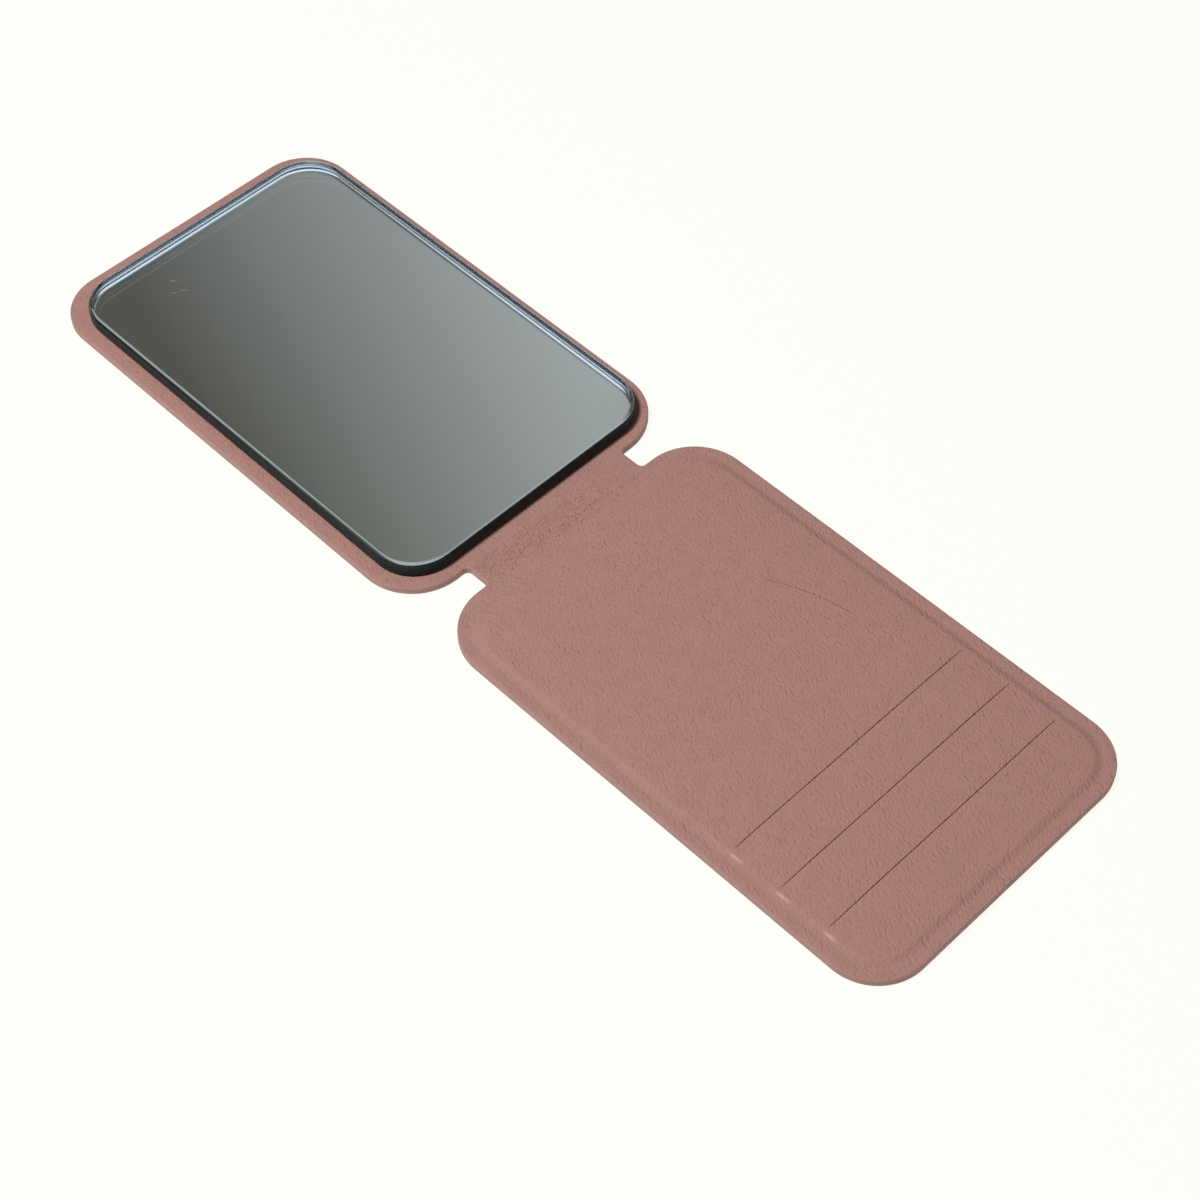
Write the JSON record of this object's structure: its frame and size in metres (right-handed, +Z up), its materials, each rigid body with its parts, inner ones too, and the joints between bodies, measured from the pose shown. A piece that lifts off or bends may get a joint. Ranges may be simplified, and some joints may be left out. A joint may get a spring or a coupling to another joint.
{
  "type": "compact mirror",
  "caption": "Folding leather compact: a panel with a round-cornered glass mirror and a raised card pouch panel with cut slits, joined by a narrow bending neck.",
  "frame": {"origin": "on the table under the middle of the fold, at the bottom centre of the open object's box", "axes": "+Y along the open length towards the mirror panel, +X along the fold, +Z up out of the inner faces"},
  "size_m": [0.066, 0.2128, 0.0049],
  "materials": {
    "inner_leather": "dusty rose, matte, fine pebble grain",
    "outer_leather": "dusty rose, matte, fine pebble grain",
    "glass": "clear, polished round edge",
    "silvering": "silvered, seen through the glass",
    "adhesive_pad": "dark foam tape",
    "board": "grey-brown pressed board",
    "lining": "thin dark brown lining"
  },
  "bodies": {
    "mirror_panel": {"mirror_back_leather": "outer_leather", "mirror_stiffener": "board", "mirror_face_leather": "inner_leather", "mirror_adhesive_pad": "adhesive_pad", "mirror_silvering": "silvering", "mirror_glass": "glass"},
    "hinge_spine": {"spine_back_leather": "outer_leather", "spine_tape": "lining", "spine_face_leather": "inner_leather"},
    "wallet_panel": {"wallet_back_leather": "outer_leather", "wallet_stiffener": "board", "pocket_liner_1": "lining", "pocket_liner_2": "lining", "pocket_liner_3": "lining", "wallet_face_leather": "inner_leather"}
  },
  "joints": [
    {"name": "mirror_crease", "type": "hinge", "parent": "hinge_spine", "child": "mirror_panel", "pos_m": [0, 0.0027, 0.0017], "axis": [1, 0, 0], "range_deg": [0, 90]},
    {"name": "wallet_crease", "type": "hinge", "parent": "hinge_spine", "child": "wallet_panel", "pos_m": [0, -0.0027, 0.0017], "axis": [-1, 0, 0], "range_deg": [0, 90]}
  ],
  "couplings": [
    {"joint": "wallet_crease", "follows": "mirror_crease", "ratio": 1}
  ]
}
